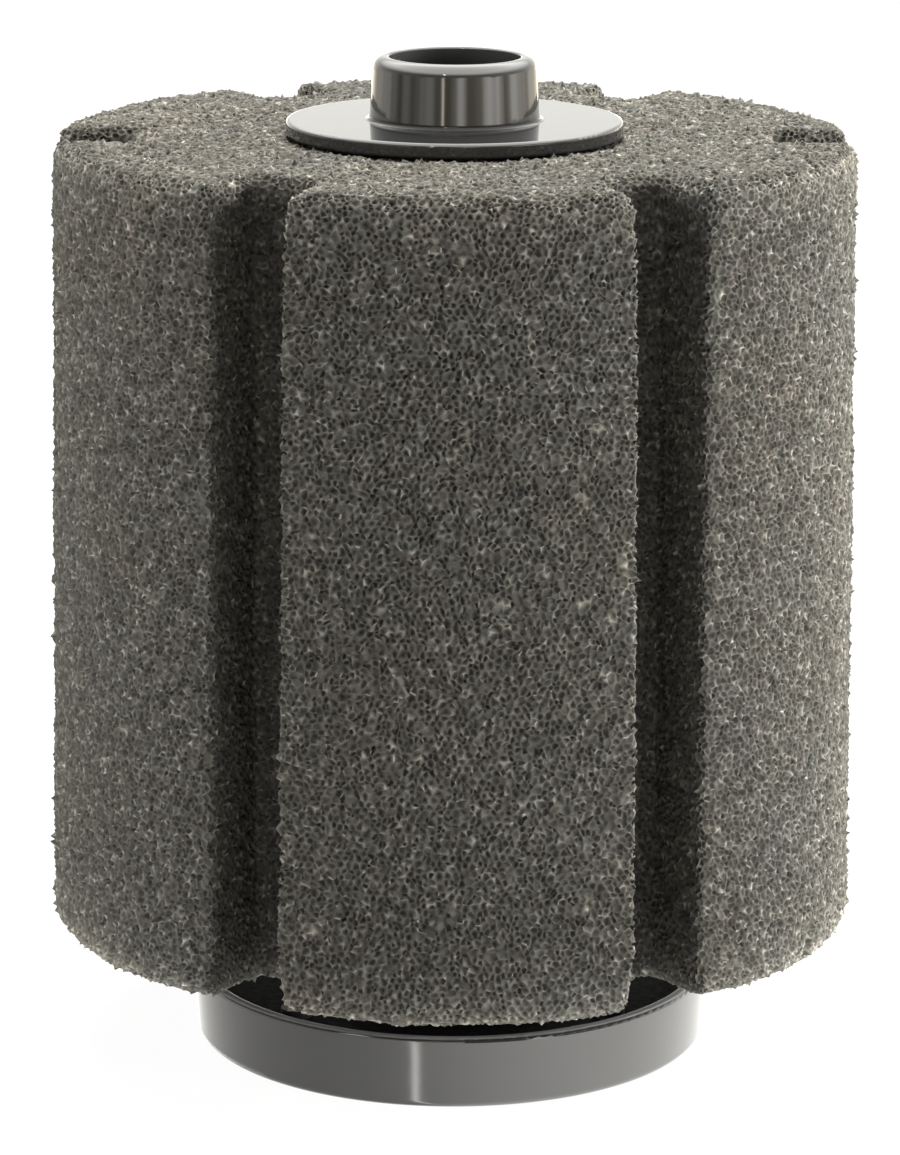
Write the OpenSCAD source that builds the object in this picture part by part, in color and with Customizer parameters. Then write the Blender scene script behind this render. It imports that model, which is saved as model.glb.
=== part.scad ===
// Foam-block aquarium filter: a grooved foam cylinder on a slotted strainer core,
// an outlet collar on top that takes a powerhead's pipe, and a weighted dish base.
// Millimetres. +Z is up, and the origin is the centre of the base's resting face.

/* [Foam] */
// Outside diameter of the foam block
foam_d = 115; // [90:1:140]
// Height of the foam block
foam_h = 113; // [80:1:180]
// Height of the foam's underside above the floor
foam_lift = 20; // [18:0.5:30]
// Number of upright grooves around the foam
groove_count = 6; // [4:1:8]
// Width of each groove
groove_w = 11.5; // [6:0.5:14]
// Depth of each groove, in from the foam's outside
groove_depth = 11.5; // [5:0.5:14]

/* [Outlet collar] */
// Outside diameter of the collar's flange
flange_d = 48; // [40:1:60]
// Thickness of the collar's flange
flange_t = 2.2; // [1.6:0.1:3]
// Height of the spout above the flange
spout_h = 9; // [7:0.5:20]
// Outside diameter of the spout at the flange
spout_root_d = 24.2; // [24:0.1:26]
// Outside diameter of the spout below its rounded lip
spout_lip_d = 23.4; // [23:0.1:24]
// Bore of the spout, which takes the powerhead's pipe
spout_bore_d = 18.7; // [18:0.1:19]

/* [Strainer core] */
// Outside diameter of the slotted tube
core_d = 21; // [20.6:0.1:21.4]
// Wall of the slotted tube
core_wall = 1.7; // [1.2:0.1:2]
// Number of upright columns of slots
slot_columns = 4; // [3:1:6]
// Width of each slot
slot_w = 3.6; // [2:0.1:4]
// Height of each slot
slot_h = 8; // [4:0.5:12]
// Height of the bridge between two slots
slot_bridge = 2.2; // [1.5:0.1:4]

/* [Base] */
// Outside diameter of the dish at its rim
base_d = 76; // [74:1:96]
// Height of the dish's rim above the floor
base_h = 10.6; // [10.4:0.1:14]
// How much the dish narrows from rim to floor, on the radius
base_draft = 0.6; // [0:0.1:1]
// Number of screws that hold the ballast cover
screw_count = 4; // [3:1:6]

/* [Hidden] */
$fn = 96;

// Gap left between pieces that slide or push together
fit_gap = 0.08;
// How far a cutting shape runs past the surface it cuts
past = 1;
// Overlap of a fillet with the walls it joins
root_overlap = 0.3;

// Foam
foam_r = foam_d / 2;
foam_top = foam_lift + foam_h;
foam_bore_r = core_d / 2 + 0.1;
// Room left round and under the collar's skirt in the foam
skirt_room = 0.1;
skirt_end_room = 0.5;

// Outlet collar
skirt_h = 10;
skirt_wall = 1.55;
skirt_bore_r = core_d / 2 + 0.05;
skirt_r = skirt_bore_r + skirt_wall;
flange_top = foam_top + flange_t;
spout_top = flange_top + spout_h;
lip_round = 1.7;
mouth_round = 0.3;
root_round = 0.7;
edge_round = 0.5;
gasket_t = 1;
// The washer stands clear of the skirt outside it, and its hole is flush with the spout's bore
gasket_gap = 0.05;

// Strainer core and the hub it stands in
core_r = core_d / 2;
core_bore_r = core_r - core_wall;
hub_flange_t = 2;
hub_web_z = [8, 11];
core_bottom = hub_web_z[1];
slot_pitch = slot_h + slot_bridge;
// Plain length left above the hub and below the skirt
slot_margin = 6;
slot_first = foam_lift + slot_margin;
slot_rows = floor((foam_top - skirt_h - slot_margin - slot_first + slot_bridge) / slot_pitch);
spigot_r = 12;
spigot_bottom = 3.4;
spigot_hollow_r = 8.5;
spigot_chamfer = 0.8;
hub_cup_r = core_r + 0.05;
o_ring_z = 5.9;
o_ring_section = 1.5;
o_ring_seat_r = 10.5;
o_ring_gap = 0.04;
o_ring_centre_r = o_ring_seat_r + o_ring_gap + o_ring_section / 2;
o_ring_half_slot = o_ring_section / 2 + o_ring_gap;

// Base
base_r = base_d / 2;
foot_w = 3;
foot_lift = 0.8;
floor_top = 2.8;
base_wall = 1.9;
ledge_z = 7.2;
ledge_w = 2.1;
rim_inner_r = base_r - base_wall;
ledge_inner_r = rim_inner_r - ledge_w;
rim_round = 0.6;
foot_round = 1.2;
socket_bore_r = spigot_r + fit_gap;
socket_r = socket_bore_r + 2;
socket_top = 12.5;
// How far above the floor's underside the socket and the bosses start
floor_bite = 1;
boss_r = 3;
// The bosses stop just under the ledge, so the cover seats on the ledge
boss_top = ledge_z - 0.1;
boss_ring_r = ledge_inner_r - 2.2;
// Room round the ballast and round its cover
ballast_room = 0.5;
ballast_socket_room = 1;
cover_room = 0.2;
cover_t = 1.6;
screw_r = 1.1;
screw_head_r = 2.2;
screw_head_h = 1.3;
screw_length = 5;
screw_hole_room = 0.3;
screw_thread_room = 0.05;
cross_length = 2.8;
cross_w = 0.6;
cross_depth = 0.8;
screw_turn = 360 / screw_count / 2;

foam_colour = "#45443f";
plastic_colour = "#26272a";
rubber_colour = "#1b1b1c";
iron_colour = "#3a3d40";
coated_steel_colour = "#2c2d2f";

// What rounding takes off a corner that sits at the origin and points to +X +Y
module corner_cut(r) {
    difference() {
        translate([-r, -r]) square(r + past);
        translate([-r, -r]) circle(r);
    }
}

// What a fillet adds in a corner: the arc's centre is at the origin, the corner at +X +Y
module corner_fill(r) {
    difference() {
        square(r + root_overlap);
        circle(r);
    }
}

// A flat ring between two radii
module ring(outer_r, inner_r, h) {
    difference() {
        cylinder(r = outer_r, h = h);
        translate([0, 0, -past]) cylinder(r = inner_r, h = h + 2 * past);
    }
}

// Repeats its children evenly around +Z, starting at an angle
module around(count, first = 0) {
    for (i = [0 : count - 1]) rotate(first + i * 360 / count) children();
}

// The foam block: grooves cut it into equal lobes, and one lobe faces -Y
module foam_sponge() {
    color(foam_colour) translate([0, 0, foam_lift]) difference() {
        cylinder(r = foam_r, h = foam_h, $fn = 180);
        around(groove_count, 270 + 180 / groove_count)
            translate([foam_r - groove_depth, -groove_w / 2, -past])
                cube([groove_depth + past, groove_w, foam_h + 2 * past]);
        translate([0, 0, -past]) cylinder(r = foam_bore_r, h = foam_h + 2 * past);
        translate([0, 0, foam_h - skirt_h - skirt_end_room])
            cylinder(r = skirt_r + skirt_room, h = skirt_h + skirt_end_room + past);
    }
}

// Outline of the collar: skirt, shoulder, flange and tapered spout, with its edges rounded
module collar_outline() {
    flange_r = flange_d / 2;
    bore_r = spout_bore_d / 2;
    spout_r = spout_lip_d / 2;
    root_r = spout_root_d / 2;
    difference() {
        union() {
            polygon([
                [bore_r, foam_top + gasket_t], [skirt_bore_r, foam_top + gasket_t],
                [skirt_bore_r, foam_top - skirt_h], [skirt_r, foam_top - skirt_h],
                [skirt_r, foam_top], [flange_r, foam_top], [flange_r, flange_top],
                [root_r, flange_top], [spout_r, spout_top - lip_round],
                [spout_r, spout_top], [bore_r, spout_top]]);
            translate([root_r + root_round, flange_top + root_round]) rotate(180)
                corner_fill(root_round);
        }
        translate([flange_r, flange_top]) corner_cut(edge_round);
        translate([flange_r, foam_top]) mirror([0, 1]) corner_cut(edge_round);
        translate([skirt_r, foam_top - skirt_h]) mirror([0, 1]) corner_cut(edge_round);
        translate([spout_r, spout_top]) corner_cut(lip_round);
        translate([bore_r, spout_top]) mirror([1, 0]) corner_cut(mouth_round);
    }
}

// The collar that holds the foam down and carries the water out
module outlet_collar() {
    color(plastic_colour) rotate_extrude() collar_outline();
}

// Soft washer between the core's top end and the collar's shoulder
module collar_gasket() {
    color(rubber_colour) translate([0, 0, foam_top])
        ring(skirt_bore_r - gasket_gap, spout_bore_d / 2, gasket_t);
}

// Slotted tube inside the foam
module strainer_core() {
    color(plastic_colour) difference() {
        translate([0, 0, core_bottom])
            ring(core_r, core_bore_r, foam_top - core_bottom);
        for (row = [0 : slot_rows - 1])
            translate([0, 0, slot_first + row * slot_pitch])
                around(slot_columns)
                    translate([core_bore_r - past, -slot_w / 2, 0])
                        cube([core_wall + 2 * past, slot_w, slot_h]);
    }
}

// Outline of the hub: a flange, a cup for the core and a spigot for the base's socket
module hub_outline() {
    polygon([
        [0, hub_web_z[0]], [spigot_hollow_r, hub_web_z[0]], [spigot_hollow_r, spigot_bottom],
        [spigot_r - spigot_chamfer, spigot_bottom], [spigot_r, spigot_bottom + spigot_chamfer],
        [spigot_r, o_ring_z - o_ring_half_slot], [o_ring_seat_r, o_ring_z - o_ring_half_slot],
        [o_ring_seat_r, o_ring_z + o_ring_half_slot], [spigot_r, o_ring_z + o_ring_half_slot],
        [spigot_r, foam_lift - hub_flange_t],
        [flange_d / 2, foam_lift - hub_flange_t], [flange_d / 2, foam_lift],
        [hub_cup_r, foam_lift], [hub_cup_r, hub_web_z[1]], [0, hub_web_z[1]]]);
}

// The hub that carries the foam and core and closes the core's lower end
module support_hub() {
    color(plastic_colour) rotate_extrude() hub_outline();
}

// Grip ring on the hub's spigot
module hub_o_ring() {
    color(rubber_colour) translate([0, 0, o_ring_z])
        rotate_extrude() translate([o_ring_centre_r, 0]) circle(d = o_ring_section, $fn = 32);
}

// Outline of the dish: foot ring, drafted wall, rounded rim, cover ledge and floor
module dish_outline() {
    foot_r = base_r - base_draft;
    difference() {
        polygon([
            [0, foot_lift], [foot_r - foot_round - foot_w, foot_lift],
            [foot_r - foot_round - foot_w, 0], [foot_r, 0], [foot_r, foot_round],
            [base_r, base_h - rim_round], [base_r, base_h], [rim_inner_r, base_h],
            [rim_inner_r, ledge_z], [ledge_inner_r, ledge_z], [ledge_inner_r, floor_top],
            [0, floor_top]]);
        translate([foot_r, 0]) mirror([0, 1]) corner_cut(foot_round);
        translate([base_r, base_h]) corner_cut(rim_round);
        translate([rim_inner_r, base_h]) mirror([1, 0]) corner_cut(rim_round);
    }
}

// The base: a dish with a socket for the hub and bosses for the cover's screws
module base_dish() {
    color(plastic_colour) difference() {
        union() {
            rotate_extrude() dish_outline();
            translate([0, 0, foot_lift + floor_bite])
                ring(socket_r, socket_bore_r, socket_top - foot_lift - floor_bite);
            around(screw_count, screw_turn) translate([boss_ring_r, 0, foot_lift + floor_bite])
                cylinder(r = boss_r, h = boss_top - foot_lift - floor_bite);
        }
        around(screw_count, screw_turn) translate([boss_ring_r, 0, floor_top])
            cylinder(r = screw_r + screw_thread_room, h = ledge_z - floor_top + past, $fn = 32);
    }
}

// Iron ring that keeps the filter down, notched round the screw bosses
module ballast_ring() {
    color(iron_colour) translate([0, 0, floor_top]) difference() {
        ring(ledge_inner_r - ballast_room, socket_r + ballast_socket_room,
             ledge_z - floor_top - cover_room);
        around(screw_count, screw_turn) translate([boss_ring_r, 0, -past])
            cylinder(r = boss_r + ballast_room, h = ledge_z + 2 * past);
    }
}

// Plate over the ballast, resting on the dish's ledge
module ballast_cover() {
    color(plastic_colour) translate([0, 0, ledge_z]) difference() {
        ring(rim_inner_r - cover_room, socket_r + cover_room, cover_t);
        around(screw_count, screw_turn) translate([boss_ring_r, 0, -past])
            cylinder(r = screw_r + screw_hole_room, h = cover_t + 2 * past, $fn = 32);
    }
}

// One flat-topped screw with a cross recess, the underside of its head at the origin
module cover_screw() {
    difference() {
        union() {
            translate([0, 0, -screw_length])
                cylinder(r = screw_r, h = screw_length + screw_head_h / 3, $fn = 32);
            cylinder(r = screw_head_r, h = screw_head_h, $fn = 48);
        }
        for (turn = [0, 90]) rotate(turn)
            translate([-cross_length / 2, -cross_w / 2, screw_head_h - cross_depth])
                cube([cross_length, cross_w, cross_depth + past]);
    }
}

// The screws that hold the ballast cover down
module cover_screws() {
    color(coated_steel_colour) around(screw_count, screw_turn)
        translate([boss_ring_r, 0, ledge_z + cover_t]) cover_screw();
}

foam_sponge();
outlet_collar();
collar_gasket();
strainer_core();
support_hub();
hub_o_ring();
base_dish();
ballast_ring();
ballast_cover();
cover_screws();
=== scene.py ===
"""A grooved foam aquarium filter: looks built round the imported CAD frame. Metres, +Z up, -Y to the front."""

import math

import bpy
import numpy as np
from mathutils import Matrix, Vector
from mathutils.geometry import delaunay_2d_cdt


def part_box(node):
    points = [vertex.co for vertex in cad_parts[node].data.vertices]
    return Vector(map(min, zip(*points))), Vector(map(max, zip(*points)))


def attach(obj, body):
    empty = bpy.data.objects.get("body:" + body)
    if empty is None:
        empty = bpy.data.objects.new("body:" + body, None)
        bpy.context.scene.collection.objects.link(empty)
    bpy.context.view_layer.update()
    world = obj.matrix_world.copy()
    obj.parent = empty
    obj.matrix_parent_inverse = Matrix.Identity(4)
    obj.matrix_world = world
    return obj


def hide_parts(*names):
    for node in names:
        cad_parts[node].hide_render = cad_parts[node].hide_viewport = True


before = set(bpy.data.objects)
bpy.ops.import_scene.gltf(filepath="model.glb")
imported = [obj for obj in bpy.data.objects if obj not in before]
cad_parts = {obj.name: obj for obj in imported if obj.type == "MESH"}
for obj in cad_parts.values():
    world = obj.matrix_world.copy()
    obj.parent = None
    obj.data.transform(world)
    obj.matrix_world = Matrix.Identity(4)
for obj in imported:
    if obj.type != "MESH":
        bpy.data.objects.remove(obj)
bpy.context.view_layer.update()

MM = 0.001
SEED = 437

# ---------------------------------------------------------------- foam, in millimetres

GROOVES = 6
GROOVE_W = 10.7         # a little under the CAD's, as the photo shows it
GROOVE_DEPTH = 11.5
EDGE_BLUR = 0.40        # how far the upright edges are softened
# height over which the top and bottom edges are rounded, fitted to the photo at the front and the back
RIM_FRONT, RIM_BACK = 4.2, 0.5
RIM_ROUNDS = 11         # rounds of smoothing there
RIM_KEEP = 0.12         # how much of that smoothing the back gets
FLARE = 0.012           # the block is this share wider at its foot and narrower at its top
SWELL = 0.003           # and this share wider all over
PINCH = 0.5             # each groove wall leans in this far at the foot
# painted light: the struts are paler at the foot and just under the top, over this height
PAINTED_FOOT_LIGHT, PAINTED_TOP_LIGHT, PAINTED_LIGHT_HEIGHT = 1.2, 0.8, 2.2
SAG = 0.7               # the foot's outer edge hangs this far down
LOBE_SAG = 0.45         # and this much more at the middle of each lobe
CELL = 1.00             # spacing of the foam's cells
BORE_CELL = 1.5
BORE_CLEAR = 0.28       # how far the foam's own bore stands off the core
SKIRT_GAP = 0.35
SKIRT_DEPTH = 10.5
SKIRT_WALL = 1.6        # from the core's outside to the skirt's
PRESS_R = 24.6          # the flanges press the foam down inside this radius
PRESS_EDGE = 1.2        # over this distance past it the foam comes up again
PRESS = 0.34

# the block's lean and sag fade with the distance from the axis, from a radius and over a distance
LEAN_FROM, LEAN_OVER = 15, 25
SAG_OVER = 20
SAG_FADE = 1.6          # the sag is gone at one part in this many of the height
PINCH_OUT, PINCH_IN = 8, 6      # how far a groove's pinch is felt outside its walls and under its floor
ROUNDING = 0.6          # share of the way to the neighbours' mean that one round moves a point

# the cells: heights and depths in millimetres, the rest as shares or chances
STRUT_LIFT, STRUT_SPREAD = -0.02, 0.12  # mean height of the struts' joints, and its spread
STRUT_LOW, STRUT_HIGH = -0.4, 0.75
SPIKY, SPIKE = 0.08, 0.19       # chance of a torn joint that sticks out, and its mean extra height
ROLLING = 0.10          # the surface's slow rise and fall
SLIDE = 0.08            # sideways looseness of the joints
BORE_CALM = 0.35        # the bore's cells are this much flatter
PIT_DEPTH = (0.32, 0.68)
SHALLOW, SHALLOW_DEPTH = 0.03, (0.12, 0.32)
MOUTH, MOUTH_UNEVEN = (0.56, 0.82), (0.82, 1.18)
LIP_SINK, LIP_SINK_DEPTH, LIP_UNEVEN = 0.10, 0.28, (0.6, 1.4)
# painted shade in the pits: the range of their colour's brightness, random per pit
PIT_PAINTED_LIGHT = (0.30, 1.0)
GLINT_POWER = 55        # the higher, the fewer facets glint

# the unrolled layout of the foam, a square of LAYOUT_SIDE with rows of sectors over the two ends
LAYOUT_SIDE, SECTOR_W, ROW_H = 356.0, 84.6, 118

FOAM_LOW, FOAM_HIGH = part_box("foam_sponge")
FOAM_R = FOAM_HIGH.y / MM
FOAM_Z0, FOAM_Z1 = FOAM_LOW.z / MM, FOAM_HIGH.z / MM
CORE_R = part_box("strainer_core")[1].x / MM
FLANGE_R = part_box("outlet_collar")[1].x / MM
SPOUT_H = 9.0           # the spout's height above the flange
SPOUT_ROOT = 0.8        # the height of its rounded root
BASE_RIM = 10.4         # above this the dish's rim is rounded
SPOUT_BORE_R = 9.45     # just outside the spout's bore
BORE_PAINTED_LIGHT = 2.5        # painted light: how much paler the bore is than the outside, standing in for light reflected inside it
RIM_PAINTED_HIGHLIGHT = 9.0         # painted highlight: how much paler the dish's rim is; it stands in for the highlight of an edge sharper than the CAD's
RIM_R = 30.0            # the rim is outside this radius


def block_outline(step=0.2):
    """Closed outline of the grooved block, counter-clockwise from the middle of a groove's floor."""
    half, floor = GROOVE_W / 2, FOAM_R - GROOVE_DEPTH
    mouth = math.sqrt(FOAM_R**2 - half**2)
    lip, turn = math.asin(half / FOAM_R), math.tau / GROOVES
    sweep = np.linspace(lip, turn - lip, 240)
    start = [(floor, 0), (floor, half), (mouth, half)]
    lobe = [(FOAM_R * math.cos(a), FOAM_R * math.sin(a)) for a in sweep[1:-1]]
    spin = np.array([[math.cos(turn), -math.sin(turn)], [math.sin(turn), math.cos(turn)]])
    end = [tuple(spin @ p) for p in [(mouth, -half), (floor, -half)]]
    sector = np.array(start + lobe + end)
    first = -math.pi / 2 + turn / 2
    rings = []
    for k in range(GROOVES):
        a = first + k * turn
        rings.append(sector @ np.array([[math.cos(a), math.sin(a)], [-math.sin(a), math.cos(a)]]))
    line = resample(np.concatenate(rings), step)
    for _ in range(round(2 * (EDGE_BLUR / step) ** 2)):
        line = 0.5 * line + 0.25 * (np.roll(line, 1, 0) + np.roll(line, -1, 0))
    return line


def resample(line, step):
    """A closed line cut into even steps, from its first point."""
    closed = np.vstack([line, line[:1]])
    along = np.concatenate([[0], np.cumsum(np.linalg.norm(np.diff(closed, axis=0), axis=1))])
    count = GROOVES * round(along[-1] / step / GROOVES)
    at = np.arange(count) * along[-1] / count
    return np.stack([np.interp(at, along, closed[:, i]) for i in (0, 1)], 1)


def uneven(length, step, rng, loose=0.22):
    """Distances from 0 to length, about one step apart, with the ends exact."""
    count = max(2, round(length / step))
    at = np.arange(1, count) + rng.uniform(-loose, loose, count - 1)
    return np.concatenate([[0], at * length / count, [length]])


def scattered(width, height, step, rng, loose=0.44, drop=0.02):
    """Points strewn over a rectangle on a loosened triangular grid with a few left out."""
    rows = int(height / (step * 0.866)) + 2
    cols = int(width / step) + 2
    col, row = np.meshgrid(np.arange(cols), np.arange(rows))
    x = (col + 0.5 * (row % 2)) * step + rng.uniform(-loose, loose, col.shape) * step
    y = row * step * 0.866 + rng.uniform(-loose, loose, col.shape) * step
    keep = rng.random(col.shape) > drop
    return np.stack([x[keep], y[keep]], 1)


def delaunay(points, edges=()):
    """Counter-clockwise triangles over 2D points, as indices into them."""
    kind = 1 if len(edges) else 0
    out = delaunay_2d_cdt([Vector(p) for p in points.tolist()], list(edges), [], kind, 1e-7)
    origin = np.array([ids[0] if ids else -1 for ids in out[3]])
    tris = origin[np.array([f for f in out[2] if len(f) == 3])]
    tris = tris[(tris >= 0).all(1)]
    a, b, c = (points[tris[:, i]] for i in range(3))
    area = (b[:, 0] - a[:, 0]) * (c[:, 1] - a[:, 1]) - (b[:, 1] - a[:, 1]) * (c[:, 0] - a[:, 0])
    tris[area < 0] = tris[area < 0][:, ::-1]
    return tris[np.abs(area) > 1e-9]


# charts of the layout after the sectors, which are 0 to GROOVES - 1
TOP_CHART, FOOT_CHART, BORE_CHART = GROOVES, GROOVES + 1, GROOVES + 2


class Net:
    """The foam block's skin as triangles, with the place of each point in an unrolled layout."""

    def __init__(self):
        self.points, self.tris = [], []
        self.chart, self.flat, self.across, self.up = [], [], [], []
        self.count = 0

    def add(self, points, chart, flat, across, up):
        """Adds points and returns their numbers. across and up are the layout's two directions there."""
        points = np.atleast_2d(points)
        n = len(points)
        self.points.append(points)
        self.chart.append(np.full(n, chart))
        self.flat.append(np.broadcast_to(flat, (n, 2)))
        self.across.append(np.broadcast_to(across, (n, 3)))
        self.up.append(np.broadcast_to(up, (n, 3)))
        self.count += n
        return np.arange(self.count - n, self.count)

    def join(self, tris):
        self.tris.append(tris)

    def done(self):
        names = ("points", "tris", "chart", "flat", "across", "up")
        return {name: np.concatenate(getattr(self, name)) for name in names}


def side_places(line, s, z):
    """Where points at s along the outline and z above the foam's foot are, and their tangents."""
    closed = np.vstack([line, line[:1]])
    step = np.linalg.norm(np.diff(closed, axis=0), axis=1)
    along = np.concatenate([[0], np.cumsum(step)])
    s = np.mod(s, along[-1])
    x, y = (np.interp(s, along, closed[:, i]) for i in (0, 1))
    ahead = np.mod(s + 0.3, along[-1])
    tx, ty = (np.interp(ahead, along, closed[:, i]) for i in (0, 1))
    tangent = np.stack([tx - x, ty - y, np.zeros_like(x)], 1)
    tangent /= np.linalg.norm(tangent, axis=1)[:, None]
    return np.stack([x, y, FOAM_Z0 + z], 1), tangent


def add_sides(net, line, rng):
    """The lobes and grooves, one sector at a time. Returns the loops of points round the two ends."""
    length = np.linalg.norm(np.roll(line, -1, 0) - line, axis=1).sum()
    width, height = length / GROOVES, FOAM_Z1 - FOAM_Z0
    col_z = uneven(height, CELL, rng)
    up = (0, 0, 1)

    def place(s, z, sector):
        points, tangent = side_places(line, s, z)
        flat = np.stack([s - sector * width, z], 1)
        return net.add(points, sector, flat, tangent, up)

    columns = [place(np.full(len(col_z), k * width), col_z, k) for k in range(GROOVES)]
    foot, top = [], []
    for k in range(GROOVES):
        low, high = (uneven(width, CELL, rng)[1:-1] for _ in range(2))
        inner = scattered_inside(width, height, rng)
        low_ids = place(k * width + low, np.zeros(len(low)), k)
        high_ids = place(k * width + high, np.full(len(high), height), k)
        inner_ids = place(k * width + inner[:, 0], inner[:, 1], k)
        right = columns[(k + 1) % GROOVES]
        flat = np.concatenate([
            np.stack([np.zeros(len(col_z)), col_z], 1),
            np.stack([np.full(len(col_z), width), col_z], 1),
            np.stack([low, np.zeros(len(low))], 1),
            np.stack([high, np.full(len(high), height)], 1),
            inner])
        ids = np.concatenate([columns[k], right, low_ids, high_ids, inner_ids])
        net.join(ids[delaunay(flat)])
        foot.append(np.concatenate([columns[k][:1], low_ids]))
        top.append(np.concatenate([columns[k][-1:], high_ids]))
    return np.concatenate(foot), np.concatenate(top)


def scattered_inside(width, height, rng):
    """Scattered points that keep half a cell away from the rectangle's edges."""
    points = scattered(width, height, CELL, rng)
    edge = 0.52 * CELL
    keep = (points > edge).all(1) & (points[:, 0] < width - edge) & (points[:, 1] < height - edge)
    return points[keep]


def add_bore(net, rng):
    """The foam's bore, with the wider mouth that takes the collar's skirt."""
    wide, slim = CORE_R + SKIRT_WALL + SKIRT_GAP, CORE_R + BORE_CLEAR
    mouth = FOAM_Z1 - SKIRT_DEPTH
    count = round(math.tau * slim / BORE_CELL)
    rows = [(wide, z) for z in np.linspace(FOAM_Z1, mouth, round(SKIRT_DEPTH / BORE_CELL))]
    rows += [((wide + slim) / 2, mouth)]
    rows += [(slim, z) for z in np.linspace(mouth, FOAM_Z0, round((mouth - FOAM_Z0) / BORE_CELL))]
    rings = []
    for j, (r, z) in enumerate(rows):
        edge = j in (0, len(rows) - 1)
        angle = (np.arange(count) + 0.5 * (j % 2)) / count * math.tau
        angle += rng.uniform(-0.2, 0.2, count) / count * math.tau
        lift = np.zeros(count) if edge else rng.uniform(-0.25, 0.25, count) * BORE_CELL
        out = np.stack([np.cos(angle), np.sin(angle)], 1)
        points = np.column_stack([out * r, z + lift])
        across = np.stack([out[:, 1], -out[:, 0], np.zeros(count)], 1)
        flat = np.stack([(math.tau - angle) * slim, z + lift - FOAM_Z0], 1)
        rings.append(net.add(points, BORE_CHART, flat, across, (0, 0, 1)))
    join_rings(net, rings)
    return rings[-1], rings[0]


def join_rings(net, rings):
    """Triangles between rings of points that are half a step out of line in turn."""
    for j in range(len(rings) - 1):
        here, below = rings[j], rings[j + 1]
        ahead, below_ahead = np.roll(here, -1), np.roll(below, -1)
        if j % 2 == 0:
            net.join(np.stack([here, ahead, below], 1))
            net.join(np.stack([ahead, below_ahead, below], 1))
        else:
            net.join(np.stack([here, below_ahead, below], 1))
            net.join(np.stack([here, ahead, below_ahead], 1))


def add_end(net, outer, inner, z, chart, rng):
    """One flat end of the block, between its outline and its bore. The top faces up, the foot down."""
    places = np.concatenate(net.points)
    rim, hole = places[outer][:, :2], places[inner][:, :2]
    span = 2 * FOAM_R
    loose = scattered(span, span, CELL, rng) - FOAM_R
    loose = loose[inside_outline(loose, rim, hole)]
    ids = net.add(np.column_stack([loose, np.full(len(loose), z)]), chart, loose, (1, 0, 0), (0, 1, 0))
    flat = np.concatenate([rim, hole, loose])
    n, m = len(rim), len(hole)
    edges = [(i, (i + 1) % n) for i in range(n)] + [(n + i, n + (i + 1) % m) for i in range(m)]
    tris = delaunay(flat, edges)
    in_hole = (tris >= n) & (tris < n + m)
    tris = tris[~in_hole.all(1)]
    tris = tris[:, ::-1] if z < (FOAM_Z0 + FOAM_Z1) / 2 else tris
    net.join(np.concatenate([outer, inner, ids])[tris])


def inside_outline(points, rim, hole):
    """Which points lie on the block's end, at least half a cell away from its edges."""
    angle = np.arctan2(points[:, 1], points[:, 0])
    r = np.linalg.norm(points, axis=1)
    keep = (r < FOAM_R - 0.6 * CELL) & (r > np.linalg.norm(hole, axis=1).max() + 0.6 * CELL)
    turn = math.tau / GROOVES
    rel = np.mod(angle + math.pi / 2, turn) - turn / 2
    x, y = r * np.cos(rel), np.abs(r * np.sin(rel))
    margin = 0.6 * CELL
    keep &= ~((x > FOAM_R - GROOVE_DEPTH - margin) & (y < GROOVE_W / 2 + margin))
    near = np.full(len(points), np.inf)
    for block in np.array_split(np.arange(len(rim)), 12):
        gap = np.linalg.norm(points[:, None] - rim[None, block], axis=2)
        near = np.minimum(near, gap.min(1))
    return keep & (near > 0.5 * CELL)


def neighbour_mean(tris, values):
    """The mean of each point's neighbours."""
    a, b = tris.ravel(), np.roll(tris, -1, 1).ravel()
    total = np.stack([np.bincount(a, values[b, i], len(values)) for i in range(3)], 1)
    return total / np.maximum(np.bincount(a, minlength=len(values)), 1)[:, None]


def soften_rims(tris, points):
    """Rounds the edges at the top and the foot, more at the front."""
    depth = np.minimum(points[:, 2] - FOAM_Z0, FOAM_Z1 - points[:, 2])
    r = np.linalg.norm(points[:, :2], axis=1)
    front = 0.5 - 0.5 * points[:, 1] / np.maximum(r, 1.0)
    soft = RIM_BACK + (RIM_FRONT - RIM_BACK) * front
    weight = np.clip(1 - depth / (2 * soft), 0, 1) * (r > FLANGE_R)
    weight *= RIM_KEEP + (1 - RIM_KEEP) * front
    for _ in range(RIM_ROUNDS):
        points = points + ROUNDING * weight[:, None] * (neighbour_mean(tris, points) - points)
    return points


def shape_block(tris, points):
    """Gives the cut block its soft edges, lean, pinched grooves, pressed ends and sagging foot."""
    r = np.linalg.norm(points[:, :2], axis=1)
    points = soften_rims(tris, points)
    share = (points[:, 2] - FOAM_Z0) / (FOAM_Z1 - FOAM_Z0)
    points = pinch_grooves(points, PINCH * (1 - share))
    grip = np.clip((r - LEAN_FROM) / LEAN_OVER, 0, 1)
    points[:, :2] *= (1 + (SWELL + FLARE * (1 - 2 * share)) * grip)[:, None]
    pressed = np.clip((PRESS_R + PRESS_EDGE - r) / PRESS_EDGE, 0, 1) * PRESS
    points[:, 2] -= pressed * np.clip((points[:, 2] - FOAM_Z1 + 2) / 2, 0, 1)
    points[:, 2] += pressed * np.clip((FOAM_Z0 + 2 - points[:, 2]) / 2, 0, 1)
    points[:, 2] -= foot_sag(points, r) * np.clip(1 - SAG_FADE * share, 0, 1)
    return points


def foot_sag(points, r):
    """How far the foot's outer part hangs down, most at the middle of each lobe."""
    lobe = 0.5 + 0.5 * np.cos(GROOVES * (np.arctan2(points[:, 1], points[:, 0]) + math.pi / 2))
    return (SAG + LOBE_SAG * lobe) * np.clip((r - PRESS_R) / SAG_OVER, 0, 1)


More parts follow.
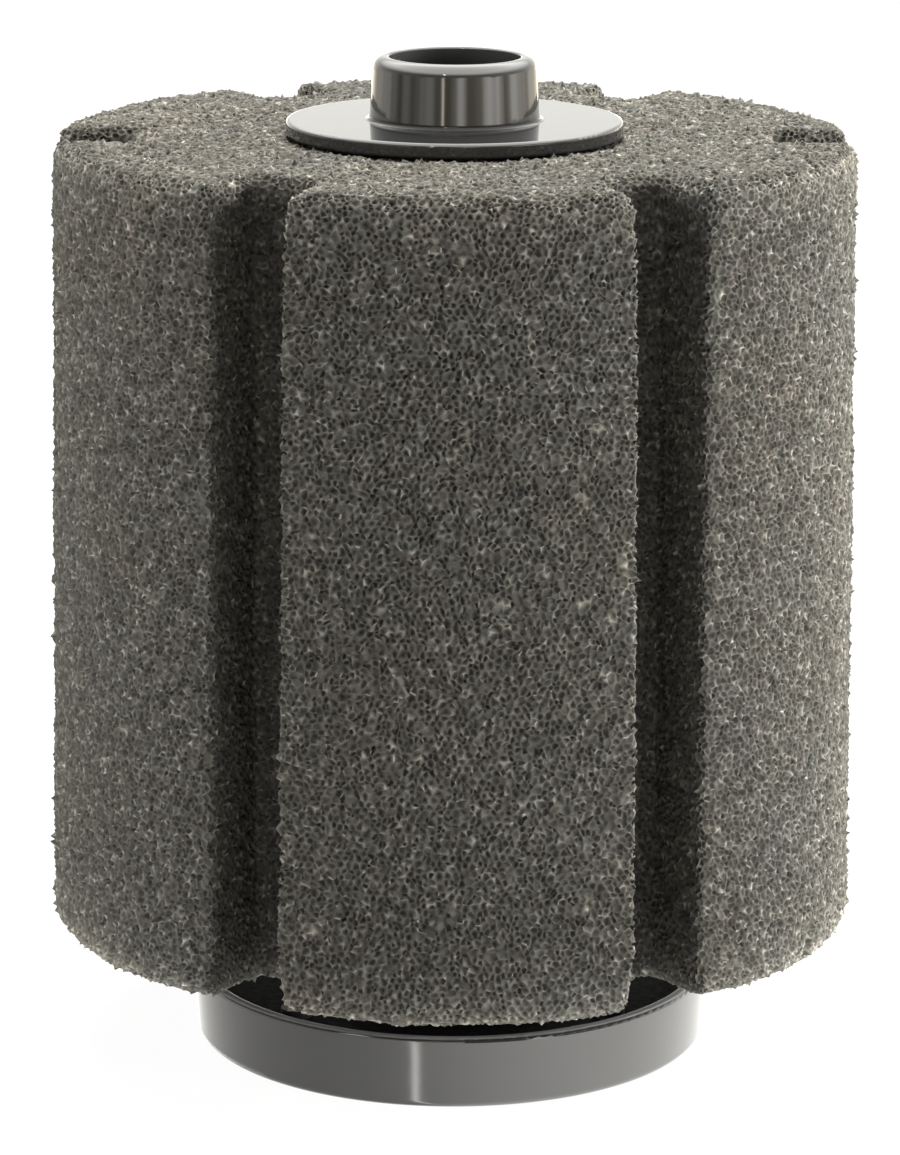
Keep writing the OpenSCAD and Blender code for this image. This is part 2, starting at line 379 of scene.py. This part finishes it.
def pinch_grooves(points, amount):
    """Moves the foam towards the middle of the nearest groove, most at the groove's walls."""
    turn = math.tau / GROOVES
    angle = np.arctan2(points[:, 1], points[:, 0])
    r = np.linalg.norm(points[:, :2], axis=1)
    middle = (np.floor((angle + math.pi / 2) / turn) + 0.5) * turn - math.pi / 2
    off = r * np.sin(angle - middle)
    half = GROOVE_W / 2
    inside = np.clip(np.abs(off) / half, 0, 1)
    outside = np.exp(-np.maximum(np.abs(off) - half, 0) / PINCH_OUT)
    reach = np.clip((r - FOAM_R + GROOVE_DEPTH + PINCH_IN) / PINCH_IN, 0, 1)
    shift = -np.sign(off) * amount * inside * outside * reach
    moved = points.copy()
    moved[:, 0] -= np.sin(middle) * shift
    moved[:, 1] += np.cos(middle) * shift
    return moved


def unit(v):
    return v / np.maximum(np.linalg.norm(v, axis=1), 1e-12)[:, None]


def waves(points, rng, count=14, low=9.0, high=30.0):
    """A smooth random height over the block, about -1 to 1."""
    total = np.zeros(len(points))
    for _ in range(count):
        k = unit(rng.normal(size=(1, 3)))[0] * math.tau / rng.uniform(low, high)
        total += np.sin(points @ k + rng.uniform(0, math.tau))
    return total / math.sqrt(count)


def corner_sum(tris, values, count):
    """For each point, the sum of the values of the triangles round it."""
    return np.stack([
        np.bincount(tris.ravel(), np.repeat(values[:, i], 3), count) for i in range(3)], 1)


def strut_joints(tris, points, normal, calm, rng):
    """The struts meet over the middle of each triangle, some lower and some standing out."""
    count, middle = len(tris), points[tris].mean(1)
    height = rng.normal(STRUT_LIFT, STRUT_SPREAD, count)
    spiky = rng.random(count) < SPIKY
    height += spiky * rng.exponential(SPIKE, count)
    height = np.clip(height, STRUT_LOW, STRUT_HIGH) + ROLLING * waves(middle, rng)
    slide = rng.normal(0, SLIDE, (count, 3))
    away = unit(normal[tris].mean(1)) * height[:, None] + slide
    return middle + away * calm[tris].mean(1)[:, None]


def pit_shapes(count, rng):
    """Each cell's depth, and the share of its width that its mouth takes."""
    depth = rng.uniform(*PIT_DEPTH, count)
    shallow = rng.random(count) < SHALLOW
    depth[shallow] = rng.uniform(*SHALLOW_DEPTH, shallow.sum())
    return depth, rng.uniform(*MOUTH, count)


def pit_lips(tris, joints, middle, normal, calm, depth, mouth, rng):
    """The pit's lip inside each corner of a cell, one for each corner of each triangle."""
    owner = tris.ravel()
    joint = np.repeat(joints, 3, axis=0)
    reach = mouth[owner] * rng.uniform(*MOUTH_UNEVEN, len(owner))
    lips = middle[owner] + (joint - middle[owner]) * reach[:, None]
    sink = (LIP_SINK + LIP_SINK_DEPTH * depth[owner]) * rng.uniform(*LIP_UNEVEN, len(owner)) * calm[owner]
    return lips - normal[owner] * sink[:, None]


def cell_faces(tris, p_count):
    """For each directed edge of the net, one quad on the strut and one triangle in the pit."""
    t_count = len(tris)
    start, stop = tris.ravel(), np.roll(tris, -1, 1).ravel()
    key, twin_key = start * p_count + stop, stop * p_count + start
    order = np.argsort(key)
    twin = order[np.searchsorted(key, twin_key, sorter=order)]
    if not (key[twin] == twin_key).all():
        raise ValueError("the foam's net is not closed")
    edge = np.arange(len(start))
    here, there = edge // 3, twin // 3
    lip_here = t_count + edge
    lip_there = t_count + 3 * there + (twin % 3 + 1) % 3
    quads = np.stack([there, here, lip_here, lip_there], 1)
    cones = np.stack([lip_there, lip_here, 4 * t_count + start], 1)
    return quads, cones


def openness(t_count, p_count, rng):
    """Painted light and shade: how open to the light each joint, lip and pit is, as the brightness of its
    colour, with each joint's own tone.
    """
    tone = rng.exponential(1.0, t_count)
    return np.concatenate([
        np.clip(0.66 + 0.27 * tone, 0.3, 2.1),
        np.clip(0.60 + 0.16 * np.repeat(tone, 3), 0.2, 1.2),
        rng.uniform(*PIT_PAINTED_LIGHT, p_count)])


def foam_arrays(net, rng):
    """The open-cell skin: each point of the net becomes a cell with raised struts round a pit."""
    tris = net["tris"]
    points = shape_block(tris, net["points"])
    t_count, p_count = len(tris), len(points)
    corners = points[tris]
    facing = np.cross(corners[:, 1] - corners[:, 0], corners[:, 2] - corners[:, 0])
    normal = unit(corner_sum(tris, facing, p_count))
    calm = np.where(net["chart"] == BORE_CHART, BORE_CALM, 1.0)
    joints = strut_joints(tris, points, normal, calm, rng)
    around = np.maximum(np.bincount(tris.ravel(), minlength=p_count), 1)
    middle = corner_sum(tris, joints, p_count) / around[:, None]
    depth, mouth = pit_shapes(p_count, rng)
    pits = middle - normal * (depth * calm)[:, None]
    lips = pit_lips(tris, joints, middle, normal, calm, depth, mouth, rng)
    quads, cones = cell_faces(tris, p_count)
    verts = np.concatenate([joints, lips, pits])
    # painted light and shade: the brightness of each joint's, lip's and pit's colour
    painted_light_and_shade = openness(t_count, p_count, rng) * painted_edge_light(verts[:, 2])
    glint = np.concatenate([rng.random(len(quads)) ** GLINT_POWER, np.zeros(len(cones))])
    return verts, quads, cones, tris.ravel(), painted_light_and_shade, glint, points


def painted_edge_light(z):
    """Painted light: how much paler the struts are at the foot, where the floor's light reaches, and just
    under the top.
    """
    foot = PAINTED_FOOT_LIGHT * np.exp(-np.maximum(z - FOAM_Z0 + SAG, 0) / PAINTED_LIGHT_HEIGHT)
    below = FOAM_Z1 - z
    top = PAINTED_TOP_LIGHT * np.exp(-np.maximum(below, 0) / PAINTED_LIGHT_HEIGHT) * np.clip((below - 0.4) / 0.6, 0, 1)
    return 1 + foot + top


def layout(net, points, verts, faces, owner):
    """Unrolled layout of some faces, as fractions of a square, one row a corner."""
    column = SECTOR_W + 2
    origin = {k: ((k % 4) * column + 1, (k // 4) * ROW_H + 2) for k in range(GROOVES)}
    origin[TOP_CHART] = (2 * column + 61, ROW_H + 61)
    origin[FOOT_CHART] = (61, 2 * ROW_H + 60)
    origin[BORE_CHART] = (125, 2 * ROW_H + 3)
    base = np.array([origin[k] for k in sorted(origin)])
    away = verts[faces] - points[owner][:, None]
    u = (away * net["across"][owner][:, None]).sum(2)
    v = (away * net["up"][owner][:, None]).sum(2)
    flat = (net["flat"][owner] + base[net["chart"][owner]])[:, None] + np.stack([u, v], 2)
    return np.clip(flat / LAYOUT_SIDE, 0.0005, 0.9995)


def make_foam():
    """The foam block as one closed mesh with its cells modelled."""
    rng = np.random.default_rng(SEED)
    line = block_outline()
    net = Net()
    foot, top = add_sides(net, line, rng)
    bore_foot, bore_top = add_bore(net, rng)
    add_end(net, top, bore_top, FOAM_Z1, TOP_CHART, rng)
    add_end(net, foot, bore_foot, FOAM_Z0, FOOT_CHART, rng)
    net = net.done()
    verts, quads, cones, owner, painted_light_and_shade, glint, points = foam_arrays(net, rng)
    mesh = bpy.data.meshes.new("foam_block")
    fill_mesh(mesh, verts * MM, quads, cones)
    for name, values, part in (("painted_light_and_shade", painted_light_and_shade, "POINT"), ("glint", glint, "FACE")):
        mesh.attributes.new(name, "FLOAT", part).data.foreach_set("value", values.astype(np.float32))
    uv = np.concatenate([
        layout(net, points, verts, quads, owner).reshape(-1, 2),
        layout(net, points, verts, cones, owner).reshape(-1, 2)])
    mesh.uv_layers.new(name="OFBake").uv.foreach_set("vector", uv.astype(np.float32).ravel())
    foam = bpy.data.objects.new("foam_block", mesh)
    bpy.context.scene.collection.objects.link(foam)
    return foam


def fill_mesh(mesh, verts, quads, cones):
    """Loads a mesh with quads, then triangles."""
    loops = np.concatenate([quads.ravel(), cones.ravel()])
    starts = np.concatenate([
        np.arange(len(quads)) * 4, len(quads) * 4 + np.arange(len(cones)) * 3])
    mesh.vertices.add(len(verts))
    mesh.vertices.foreach_set("co", verts.astype(np.float32).ravel())
    mesh.loops.add(len(loops))
    mesh.loops.foreach_set("vertex_index", loops.astype(np.int32))
    mesh.polygons.add(len(starts))
    mesh.polygons.foreach_set("loop_start", starts.astype(np.int32))
    mesh.update(calc_edges=True)


# ---------------------------------------------------------------- materials


def new_material(name):
    """A material, its node tree and its Principled node."""
    mat = bpy.data.materials.new(name)
    mat.use_nodes = True
    tree = mat.node_tree
    shader = next(n for n in tree.nodes if n.type == "BSDF_PRINCIPLED")
    return mat, tree, shader


def node(tree, kind, links=(), **values):
    """A node with some inputs set, by name or number, and some linked from other sockets."""
    made = tree.nodes.new(kind)
    for key, value in values.items():
        if hasattr(made, key) and key not in made.inputs:
            setattr(made, key, value)
        else:
            made.inputs[key].default_value = value
    for key, source in dict(links).items():
        tree.links.new(source, made.inputs[key])
    return made


def math_node(tree, operation, a, b=0.0, c=None, clamp=False):
    """The result of a math node whose inputs are numbers or sockets."""
    made = tree.nodes.new("ShaderNodeMath")
    made.operation = operation
    made.use_clamp = clamp
    for i, value in enumerate([a, b] if c is None else [a, b, c]):
        if isinstance(value, (int, float)):
            made.inputs[i].default_value = value
        else:
            tree.links.new(value, made.inputs[i])
    return made.outputs[0]


def mix_color(tree, factor, a, b, mode="MIX"):
    """The result of a colour mix whose inputs are numbers, colours or sockets."""
    made = tree.nodes.new("ShaderNodeMix")
    made.data_type = "RGBA"
    made.blend_type = mode
    for i, value in ((0, factor), (6, a), (7, b)):
        if isinstance(value, (int, float)):
            made.inputs[i].default_value = value
        elif isinstance(value, tuple):
            made.inputs[i].default_value = (*value, 1)
        else:
            tree.links.new(value, made.inputs[i])
    return made.outputs[2]


def noise(tree, scale, detail=2.0, rough=0.5, vector=None):
    """A noise texture's value, in the object's own coordinates unless a vector is given."""
    made = tree.nodes.new("ShaderNodeTexNoise")
    made.inputs["Scale"].default_value = scale
    made.inputs["Detail"].default_value = detail
    made.inputs["Roughness"].default_value = rough
    if vector is None:
        vector = tree.nodes.new("ShaderNodeTexCoord").outputs["Object"]
    tree.links.new(vector, made.inputs["Vector"])
    return made.outputs[0]


# foam colours: two faint patches, two faint speckles that multiply them, and the darkest value
PATCH_WARM, PATCH_COOL = (0.0722, 0.066, 0.0522), (0.056, 0.057, 0.0562)
SPECKLE_PINK, SPECKLE_GREEN = (1.06, 0.96, 0.99), (0.94, 1.04, 1.01)
FOAM_DARKEST = (0.004, 0.004, 0.0036)
PAINTED_SHADE_POWER = 1.5      # painted shade: how steeply the foam's colour darkens into its pits
GLINT_GAIN = 1.7


def foam_material():
    """Dark grey open-cell foam: paler struts and darker pits in painted light and shade, warm and cool patches
    and a few glints.
    """
    mat, tree, shader = new_material("open_cell_foam")
    painted_light_and_shade = node(tree, "ShaderNodeAttribute", attribute_name="painted_light_and_shade").outputs["Fac"]
    glint = node(tree, "ShaderNodeAttribute", attribute_name="glint").outputs["Fac"]
    patch = noise(tree, 38, 6, 0.7)
    fine = noise(tree, 900, 3, 0.6)
    tint = mix_color(tree, patch, PATCH_WARM, PATCH_COOL)
    # painted shade: the colour darkens into the pits
    level = math_node(tree, "POWER", math_node(tree, "MAXIMUM", painted_light_and_shade, 0.0), PAINTED_SHADE_POWER)
    level = math_node(tree, "MULTIPLY_ADD", glint, GLINT_GAIN, level)
    level = math_node(tree, "MULTIPLY", level, math_node(tree, "MULTIPLY_ADD", fine, 1.3, 0.35))
    speckle = mix_color(tree, noise(tree, 430, 2), SPECKLE_PINK, SPECKLE_GREEN)
    tint = mix_color(tree, 1.0, tint, speckle, "MULTIPLY")
    strut = mix_color(tree, 1.0, tint, level, "MULTIPLY")
    color = mix_color(tree, 1.0, strut, FOAM_DARKEST, "ADD")
    tree.links.new(color, shader.inputs["Base Color"])
    rough = math_node(tree, "MULTIPLY_ADD", fine, 0.3, 0.42)
    tree.links.new(rough, shader.inputs["Roughness"])
    shader.inputs["IOR"].default_value = 1.45
    shader.inputs["Specular IOR Level"].default_value = 0.02
    return mat


DULLING = 0.8           # share of its shine that plastic loses in a dulled band


def plastic_material(name, base, rough, grain, ior=1.6, bump=0.02, specular=0.5, dull=None,
                     bore=None, rim_highlight=0.0):
    """Moulded near-black plastic: faint flow marks, fine scratches and a little dust.

    dull is a band of heights with less shine; the last argument says how much paler that band is
    outside the radius RIM_R, a painted highlight. Inside the radius bore the plastic is paler too, painted
    light.
    """
    mat, tree, shader = new_material(name)
    coord = tree.nodes.new("ShaderNodeTexCoord").outputs["Object"]
    flow = noise(tree, 60, 3, 0.55, coord)
    fine = noise(tree, grain, 4, 0.6, coord)
    tone = math_node(tree, "MULTIPLY_ADD", flow, 0.5, 0.75)
    # painted light: inside the bore the plastic's colour is made paler
    if bore:
        inside = math_node(tree, "LESS_THAN", off_axis(tree, coord), bore)
        tone = math_node(tree, "MULTIPLY_ADD", inside, BORE_PAINTED_LIGHT, tone)
    shader.inputs["IOR"].default_value = ior
    shader.inputs["Specular IOR Level"].default_value = specular
    if dull:
        band = dull_band(tree, node(tree, "ShaderNodeSeparateXYZ", {0: coord}).outputs[2], *dull)
        # painted highlight: outside RIM_R the dull band's colour is made paler
        outer = math_node(tree, "GREATER_THAN", off_axis(tree, coord), RIM_R * MM)
        tone = math_node(tree, "MULTIPLY_ADD", math_node(tree, "MULTIPLY", band, outer), rim_highlight, tone)
        shine = math_node(tree, "MULTIPLY_ADD", band, -DULLING * specular, specular)
        tree.links.new(shine, shader.inputs["Specular IOR Level"])
    color = mix_color(tree, 1.0, (base, base, base * 1.02), tone, "MULTIPLY")
    tree.links.new(color, shader.inputs["Base Color"])
    spread = math_node(tree, "MULTIPLY_ADD", fine, rough * 0.9, rough * 0.55)
    tree.links.new(spread, shader.inputs["Roughness"])
    bumps = node(tree, "ShaderNodeBump", {"Height": flow}, Strength=bump, Distance=0.001)
    tree.links.new(bumps.outputs[0], shader.inputs["Normal"])
    return mat


def off_axis(tree, coord):
    """Distance from the upright axis."""
    flat = node(tree, "ShaderNodeVectorMath", {0: coord}, operation="MULTIPLY")
    flat.inputs[1].default_value = (1, 1, 0)
    return node(tree, "ShaderNodeVectorMath", {0: flat.outputs[0]}, operation="LENGTH").outputs["Value"]


def dull_band(tree, height, low, high, edge=0.00015):
    """1 between two heights, falling to 0 outside them."""
    above = math_node(tree, "MULTIPLY_ADD", height, 1 / edge, -low / edge, True)
    below = math_node(tree, "MULTIPLY_ADD", height, -1 / edge, high / edge, True)
    return math_node(tree, "MULTIPLY", above, below)


def metal_material(name, color, rough, scale, metallic=1.0):
    """Bare or coated metal with a grain in its roughness and bump."""
    mat, tree, shader = new_material(name)
    grain = noise(tree, scale, 5, 0.6)
    tint = mix_color(tree, grain, color, tuple(c * 0.6 for c in color))
    tree.links.new(tint, shader.inputs["Base Color"])
    tree.links.new(math_node(tree, "MULTIPLY_ADD", grain, rough, rough * 0.5), shader.inputs["Roughness"])
    shader.inputs["Metallic"].default_value = metallic
    bumps = node(tree, "ShaderNodeBump", {"Height": grain}, Strength=0.25, Distance=0.0004)
    tree.links.new(bumps.outputs[0], shader.inputs["Normal"])
    return mat


def mesh_top(name):
    """The highest point of a CAD node's mesh, in its own coordinates."""
    return max(v.co.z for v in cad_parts[name].data.vertices)


def dress(name, mat):
    """Gives a CAD node a material."""
    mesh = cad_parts[name].data
    mesh.materials.clear()
    mesh.materials.append(mat)


# ---------------------------------------------------------------- stage, light and camera


FLOOR_ALBEDO = 0.50
# what the camera sees of it: its own white, and a trace of the filter's shadow
FLOOR_WHITE, FLOOR_TRACE = 0.95, 0.06
# what the floor looks like in a reflection: its middle value, and how it changes to +X
FLOOR_SHINE = 1.85
FLOOR_SHINE_X = 0.83
# a wide window at the front right
WINDOW = (0.707, -0.707, 0.0)
WINDOW_SHINE = 0.55
# a window's streak in the reflections: its azimuth from the front, its half width and its strength
STREAK = math.radians(-16.7)
STREAK_WIDTH = math.radians(1.7)
STREAK_SHINE = 6.0
# how much brighter the room is straight behind the filter
BACK_SHINE = 2.2
# distances over which the plain floor gives way to the blurred room
ROOM_NEAR, ROOM_FAR = 0.4, 0.9
# heights of a unit ray between which the room gives way to the sky
HORIZON_Z, SKY_Z = 0.03, 0.11


def room_shapes(tree, way):
    """Blurred light and dark shapes round the horizon, 0 to 1."""
    return math_node(tree, "MULTIPLY_ADD", noise(tree, 1.9, 2.0, 0.55, way), 4.5, -1.75, True)


def room_pattern(tree, shapes, share):
    """How much the room's shapes brighten or darken the floor's gleam, 1 where share is 0."""
    lift = math_node(tree, "MULTIPLY_ADD", shapes, 1.2, -0.72)
    return math_node(tree, "MULTIPLY_ADD", lift, share, 1.0)


def streak(tree, x, y):
    """A narrow upright streak at one azimuth, by the unit vector's x and y."""
    azimuth = math_node(tree, "ARCTAN2", x, math_node(tree, "MULTIPLY", y, -1.0))
    away = math_node(tree, "SUBTRACT", azimuth, STREAK)
    near = math_node(tree, "DIVIDE", away, STREAK_WIDTH)
    fall = math_node(tree, "MULTIPLY", math_node(tree, "MULTIPLY", near, near), -1.0)
    return math_node(tree, "MULTIPLY", math_node(tree, "EXPONENT", fall), STREAK_SHINE)


def horizon(tree, ray, far):
    """What a reflected ray sees low down, its brightness and tint: floor, or the room where far is 1."""
    level = node(tree, "ShaderNodeVectorMath", {0: ray}, operation="MULTIPLY")
    level.inputs[1].default_value = (1, 1, 0)
    way = node(tree, "ShaderNodeVectorMath", {0: level.outputs[0]}, operation="NORMALIZE").outputs[0]
    x, y = node(tree, "ShaderNodeSeparateXYZ", {0: way}).outputs[:2]
    shine = math_node(tree, "MULTIPLY_ADD", x, FLOOR_SHINE_X, FLOOR_SHINE)
    window = node(tree, "ShaderNodeVectorMath", {0: way}, operation="DOT_PRODUCT")
    window.inputs[1].default_value = WINDOW
    facing = math_node(tree, "POWER", math_node(tree, "MAXIMUM", window.outputs["Value"], 0.0), 2.0)
    shine = math_node(tree, "MULTIPLY_ADD", facing, WINDOW_SHINE, shine)
    shapes = room_shapes(tree, way)
    shine = math_node(tree, "MULTIPLY", shine, room_pattern(tree, shapes, far))
    shine = math_node(tree, "ADD", shine, streak(tree, x, y))
    behind = math_node(tree, "POWER", math_node(tree, "MAXIMUM", y, 0.0), 3.0)
    shine = math_node(tree, "MULTIPLY_ADD", math_node(tree, "MULTIPLY", behind, far), BACK_SHINE, shine)
    warmth = math_node(tree, "MULTIPLY", far, math_node(tree, "SUBTRACT", 1.0, shapes, clamp=True))
    return shine, mix_color(tree, warmth, (1.0, 0.99, 0.95), (1.0, 0.90, 0.72))


def by_ray(tree, kind, other, chosen):
    """One shader for rays of a kind, such as camera rays, and another for the rest."""
    is_kind = tree.nodes.new("ShaderNodeLightPath").outputs[f"Is {kind} Ray"]
    return node(tree, "ShaderNodeMixShader", {0: is_kind, 1: other, 2: chosen}).outputs[0]


def seen_floor(tree):
    """The floor as the camera sees it, near white with a trace of shadow."""
    pale = node(tree, "ShaderNodeEmission", Color=(1, 1, 1, 1), Strength=FLOOR_WHITE)
    trace = node(tree, "ShaderNodeBsdfDiffuse", Color=(FLOOR_TRACE, FLOOR_TRACE, FLOOR_TRACE, 1))
    return node(tree, "ShaderNodeAddShader", {0: pale.outputs[0], 1: trace.outputs[0]}).outputs[0]


def mirrored_floor(tree):
    """The floor as a reflection shows it, giving way to the blurred room further out."""
    geometry = tree.nodes.new("ShaderNodeNewGeometry").outputs
    ray = node(tree, "ShaderNodeVectorMath", {0: geometry["Incoming"]}, operation="SCALE", Scale=-1.0)
    reach = node(tree, "ShaderNodeVectorMath", {0: geometry["Position"]}, operation="LENGTH")
    span = ROOM_FAR - ROOM_NEAR
    far = math_node(tree, "MULTIPLY_ADD", reach.outputs["Value"], 1 / span, -ROOM_NEAR / span, True)
    shine, tint = horizon(tree, ray.outputs[0], far)
    return node(tree, "ShaderNodeEmission", {"Strength": shine, "Color": tint}).outputs[0]


def floor_material():
    """Pale floor that lights the foam, looks near white and is seen differently by reflected rays."""
    mat, tree, shader = new_material("pale_floor")
    tint = mix_color(tree, noise(tree, 4, 2), (FLOOR_ALBEDO * 0.97,) * 3, (FLOOR_ALBEDO,) * 3)
    tree.links.new(tint, shader.inputs["Base Color"])
    shader.inputs["Roughness"].default_value = 0.6
    mixed = by_ray(tree, "Glossy", shader.outputs[0], mirrored_floor(tree))
    mixed = by_ray(tree, "Camera", mixed, seen_floor(tree))
    out = next(n for n in tree.nodes if n.type == "OUTPUT_MATERIAL")
    tree.links.new(mixed, out.inputs["Surface"])
    return mat


def make_floor(size=6.0):
    """A large flat floor under the filter."""
    mesh = bpy.data.meshes.new("floor")
    h = size / 2
    mesh.from_pydata([(-h, -h, 0), (h, -h, 0), (h, h, 0), (-h, h, 0)], [], [(0, 1, 2, 3)])
    floor = bpy.data.objects.new("floor", mesh)
    bpy.context.scene.collection.objects.link(floor)
    mesh.materials.append(floor_material())


LAMP_COLOR = (1.0, 0.985, 0.95)
ROOM_LIGHT = 0.02       # what the studio's walls give the foam, apart from the lamps
# the mirrored room's brightness overhead: at the front, more at the back, more to the right
MIRROR_BASE, MIRROR_BACK, MIRROR_RIGHT = 0.6, 1.0, 0.3
MIRROR_CEILING = 5.0


def mirrored_room(tree, way):
    """What reflected rays see of the studio: bright above and behind, and dim in front."""
    x, y, z = node(tree, "ShaderNodeSeparateXYZ", {0: way}).outputs
    back = math_node(tree, "MULTIPLY_ADD", y, 0.5, 0.5, clamp=True)
    mirror = math_node(tree, "MULTIPLY_ADD", math_node(tree, "POWER", back, 2.0), MIRROR_BACK, MIRROR_BASE)
    mirror = math_node(tree, "MULTIPLY_ADD", math_node(tree, "MAXIMUM", x, 0.0), MIRROR_RIGHT, mirror)
    ceiling = math_node(tree, "MULTIPLY_ADD", z, 3.0, -1.0, clamp=True)
    mirror = math_node(tree, "MULTIPLY_ADD", ceiling, MIRROR_CEILING, mirror)
    low, tint = horizon(tree, way, 1.0)
    span = SKY_Z - HORIZON_Z
    high = math_node(tree, "MULTIPLY_ADD", z, 1 / span, -HORIZON_Z / span, True)
    gap = math_node(tree, "SUBTRACT", mirror, low)
    mirror = math_node(tree, "MULTIPLY_ADD", gap, high, low)
    tint = mix_color(tree, high, tint, (1.0, 0.99, 0.94))
    return node(tree, "ShaderNodeBackground", {"Strength": mirror, "Color": tint}).outputs[0]


def make_world():
    """Three worlds in one: white for the camera, a studio for reflections, dim walls for the foam."""
    world = bpy.data.worlds.new("studio")
    bpy.context.scene.world = world
    world.use_nodes = True
    world.cycles.sampling_method = "NONE"
    tree = world.node_tree
    tree.nodes.clear()
    way = tree.nodes.new("ShaderNodeTexCoord").outputs["Generated"]
    walls = node(tree, "ShaderNodeBackground", Color=(*LAMP_COLOR, 1), Strength=ROOM_LIGHT)
    white = node(tree, "ShaderNodeBackground", Color=(1, 1, 1, 1), Strength=1.0)
    mixed = by_ray(tree, "Glossy", walls.outputs[0], mirrored_room(tree, way))
    mixed = by_ray(tree, "Camera", mixed, white.outputs[0])
    out = tree.nodes.new("ShaderNodeOutputWorld")
    tree.links.new(mixed, out.inputs["Surface"])


# the lamps' powers were fitted to the brightness of the photo's foam and plastic, and rounded
LAMPS = (
    # name, azimuth, elevation, distance, size, power
    ("key_right", 108, 10, 0.9, 0.5, 38.0),
    ("key_right_front", 61, 2, 0.9, 0.36, 18.0),
    ("fill_left", -81, 8, 0.9, 0.5, 13.4),
    ("fill_left_front", -60, 4, 0.9, 0.3, 1.8),
    ("overhead", 0, 85, 0.9, 0.5, 9.4),
    ("top_back", 176, 60, 0.9, 0.5, 39.0),
)
# the one lamp that the plastic mirrors, as a small highlight
GLINT_LAMP = ("glint", -16, 30, 1.5, 0.05, 1.0)
AIM = Vector((0, 0, 0.08))      # where the lamps point


def add_light(name, azimuth, elevation, distance, size, power):
    """A soft square light that looks at the filter's middle. Azimuth 0 is the front, 90 the right."""
    data = bpy.data.lights.new(name, "AREA")
    data.size = size
    data.energy = power
    data.color = LAMP_COLOR
    lamp = bpy.data.objects.new(name, data)
    bpy.context.scene.collection.objects.link(lamp)
    a, e = math.radians(azimuth), math.radians(elevation)
    way = Vector((math.sin(a) * math.cos(e), -math.cos(a) * math.cos(e), math.sin(e)))
    lamp.location = AIM + way * distance
    lamp.rotation_mode = "QUATERNION"
    lamp.rotation_quaternion = way.to_track_quat("Z", "Y")
    lamp.visible_camera = False
    lamp.visible_glossy = False
    return lamp


# the camera's distance out and height, in metres, and its angles
CAMERA_OUT = 0.6686
CAMERA_UP = 0.2330
CAMERA_SWING = math.radians(-0.88)
CAMERA_TILT = math.radians(13.855)
CAMERA_ROLL = math.radians(0.26)
CAMERA_PAN = math.radians(0.03)
LENS = 147.6


def make_camera():
    """The photo's viewpoint, a little left of the front and looking slightly down."""
    data = bpy.data.cameras.new("camera")
    data.lens = LENS
    data.sensor_width = 36
    data.clip_start, data.clip_end = 0.01, 20
    camera = bpy.data.objects.new("camera", data)
    bpy.context.scene.collection.objects.link(camera)
    spot = (math.sin(CAMERA_SWING) * CAMERA_OUT, -math.cos(CAMERA_SWING) * CAMERA_OUT, CAMERA_UP)
    level = Matrix.Rotation(math.pi / 2 - CAMERA_TILT, 4, "X")
    turn = Matrix.Rotation(CAMERA_SWING + CAMERA_PAN, 4, "Z")
    camera.matrix_world = (
        Matrix.Translation(spot) @ turn @ level @ Matrix.Rotation(CAMERA_ROLL, 4, "Z"))
    bpy.context.scene.camera = camera


# ---------------------------------------------------------------- build

foam = make_foam()
foam.data.materials.append(foam_material())
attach(foam, "foam")
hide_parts("foam_sponge")

collar_top = mesh_top("outlet_collar")
base_top = mesh_top("base_dish")
spout_root = (collar_top - SPOUT_H * MM, collar_top - (SPOUT_H - SPOUT_ROOT) * MM)
rim = (BASE_RIM * MM, base_top + MM)
collar_plastic = plastic_material(
    "collar_plastic", base=0.009, rough=0.07, grain=500, dull=spout_root, bore=SPOUT_BORE_R * MM)
# the dish's rim is dulled and given a painted highlight
base_plastic = plastic_material(
    "base_plastic", base=0.016, rough=0.10, grain=700, ior=1.65, bump=0.03, dull=rim,
    rim_highlight=RIM_PAINTED_HIGHLIGHT)
# painted shade: the inner parts' plastic is darker and duller than the outer, deepening the shade in the gap
# under the foam
inner_plastic = plastic_material(
    "inner_plastic", base=0.004, rough=0.6, grain=900, ior=1.3, bump=0.05, specular=0.1)
seal_rubber = plastic_material("seal_rubber", base=0.010, rough=0.55, grain=1500, ior=1.45, bump=0.2)
iron = metal_material("coated_iron", (0.045, 0.048, 0.052), rough=0.5, scale=500, metallic=0.0)
steel = metal_material("coated_steel", (0.012, 0.012, 0.013), rough=0.4, scale=1200, metallic=0.0)

dress("outlet_collar", collar_plastic)
dress("base_dish", base_plastic)
for name in ("ballast_cover", "strainer_core", "support_hub"):
    dress(name, inner_plastic)
for name in ("collar_gasket", "hub_o_ring"):
    dress(name, seal_rubber)
dress("ballast_ring", iron)
dress("cover_screws", steel)

make_floor()
make_world()
for lamp in LAMPS:
    add_light(*lamp)
glint = add_light(*GLINT_LAMP)
glint.visible_glossy = True
make_camera()

view = bpy.context.scene.view_settings
view.view_transform = "Standard"
view.look = "None"

bpy.context.view_layer.update()
